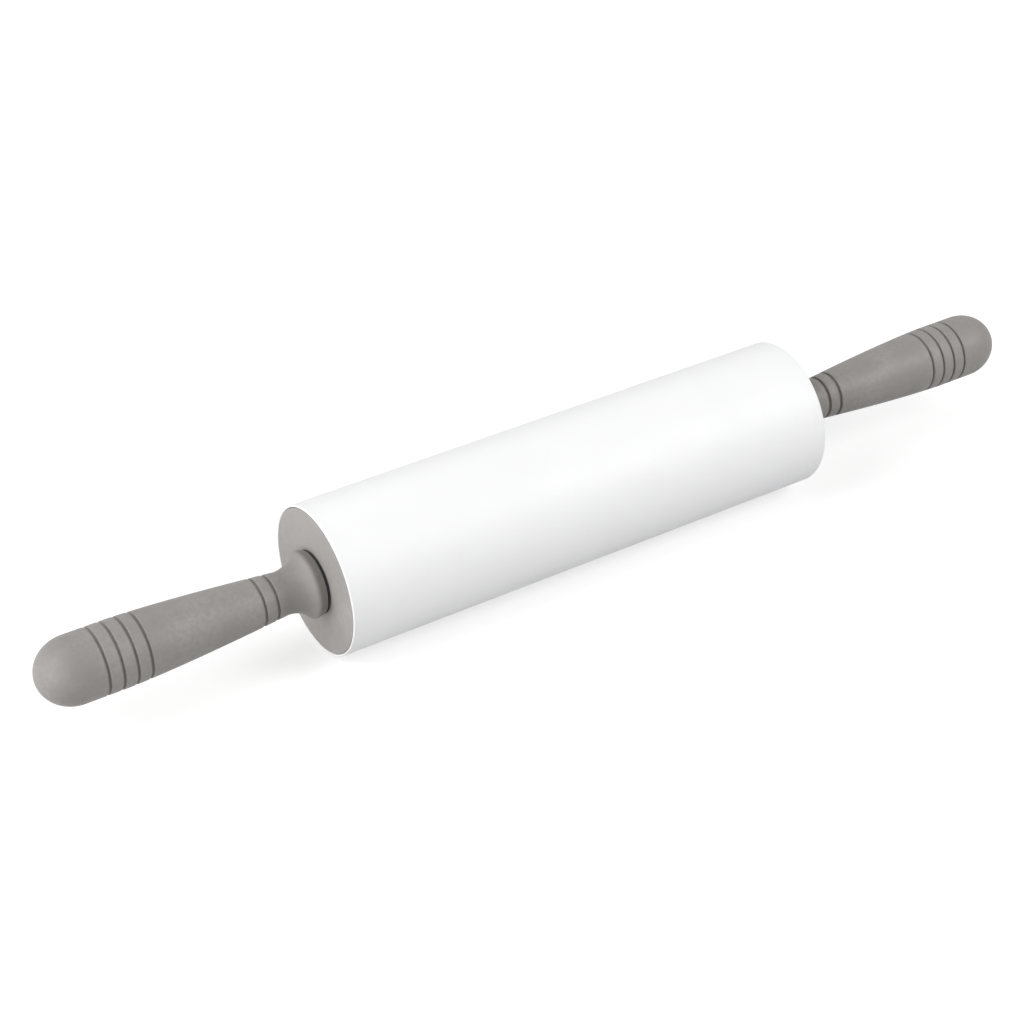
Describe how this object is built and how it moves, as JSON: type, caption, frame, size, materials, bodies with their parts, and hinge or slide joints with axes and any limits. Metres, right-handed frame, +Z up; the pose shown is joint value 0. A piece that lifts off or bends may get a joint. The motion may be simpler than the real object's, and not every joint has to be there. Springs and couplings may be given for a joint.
{
  "type": "rolling pin",
  "caption": "Rolling pin with a smooth white silicone barrel that spins freely on ball bearings round a steel rod, and two domed, ribbed grey handles.",
  "frame": {"origin": "on the resting plane, under the middle of the barrel's axis", "axes": "+X runs along the barrel's axis towards the right handle, +Z is up, and +Y is across the pin"},
  "size_m": [0.43, 0.058, 0.058],
  "materials": {
    "sleeve_silicone": "matte",
    "core_plastic": "satin",
    "cap_plastic": "matte",
    "grip_plastic": "matte",
    "grip_core_plastic": "satin",
    "rod_steel": "brushed",
    "bearing_steel": "polished",
    "shield_steel": "satin",
    "clip_steel": "blackened",
    "cage_nylon": "satin",
    "spacer_plastic": "satin",
    "insert_brass": "machined"
  },
  "bodies": {
    "handles": {"axle_rod": "rod_steel", "left_bearing_inner_ring": "bearing_steel", "left_axle_clip": "clip_steel", "left_spacer": "spacer_plastic", "left_handle_grip": "grip_plastic", "left_handle_core": "grip_core_plastic", "left_threaded_insert": "insert_brass", "right_bearing_inner_ring": "bearing_steel", "right_axle_clip": "clip_steel", "right_spacer": "spacer_plastic", "right_handle_grip": "grip_plastic", "right_handle_core": "grip_core_plastic", "right_threaded_insert": "insert_brass"},
    "barrel": {"silicone_sleeve": "sleeve_silicone", "core_tube": "core_plastic", "left_end_cap": "cap_plastic", "left_bearing_outer_ring": "bearing_steel", "left_outer_shield": "shield_steel", "left_inner_shield": "shield_steel", "left_bearing_retainer": "clip_steel", "right_end_cap": "cap_plastic", "right_bearing_outer_ring": "bearing_steel", "right_outer_shield": "shield_steel", "right_inner_shield": "shield_steel", "right_bearing_retainer": "clip_steel"},
    "left_cage": {"left_bearing_cage": "cage_nylon", "left_ball_1": "bearing_steel", "left_ball_2": "bearing_steel", "left_ball_3": "bearing_steel", "left_ball_4": "bearing_steel", "left_ball_5": "bearing_steel", "left_ball_6": "bearing_steel", "left_ball_7": "bearing_steel"},
    "right_cage": {"right_bearing_cage": "cage_nylon", "right_ball_1": "bearing_steel", "right_ball_2": "bearing_steel", "right_ball_3": "bearing_steel", "right_ball_4": "bearing_steel", "right_ball_5": "bearing_steel", "right_ball_6": "bearing_steel", "right_ball_7": "bearing_steel"}
  },
  "joints": [
    {"name": "barrel_spin", "type": "hinge", "parent": "handles", "child": "barrel", "pos_m": [0, 0, 0.029], "axis": [1, 0, 0], "continuous": true},
    {"name": "left_cage_spin", "type": "hinge", "parent": "handles", "child": "left_cage", "pos_m": [-0.0994, 0, 0.029], "axis": [1, 0, 0], "continuous": true},
    {"name": "right_cage_spin", "type": "hinge", "parent": "handles", "child": "right_cage", "pos_m": [0.0994, 0, 0.029], "axis": [1, 0, 0], "continuous": true}
  ],
  "couplings": [
    {"joint": "left_cage_spin", "follows": "barrel_spin", "ratio": 0.6323},
    {"joint": "right_cage_spin", "follows": "barrel_spin", "ratio": 0.6323}
  ]
}
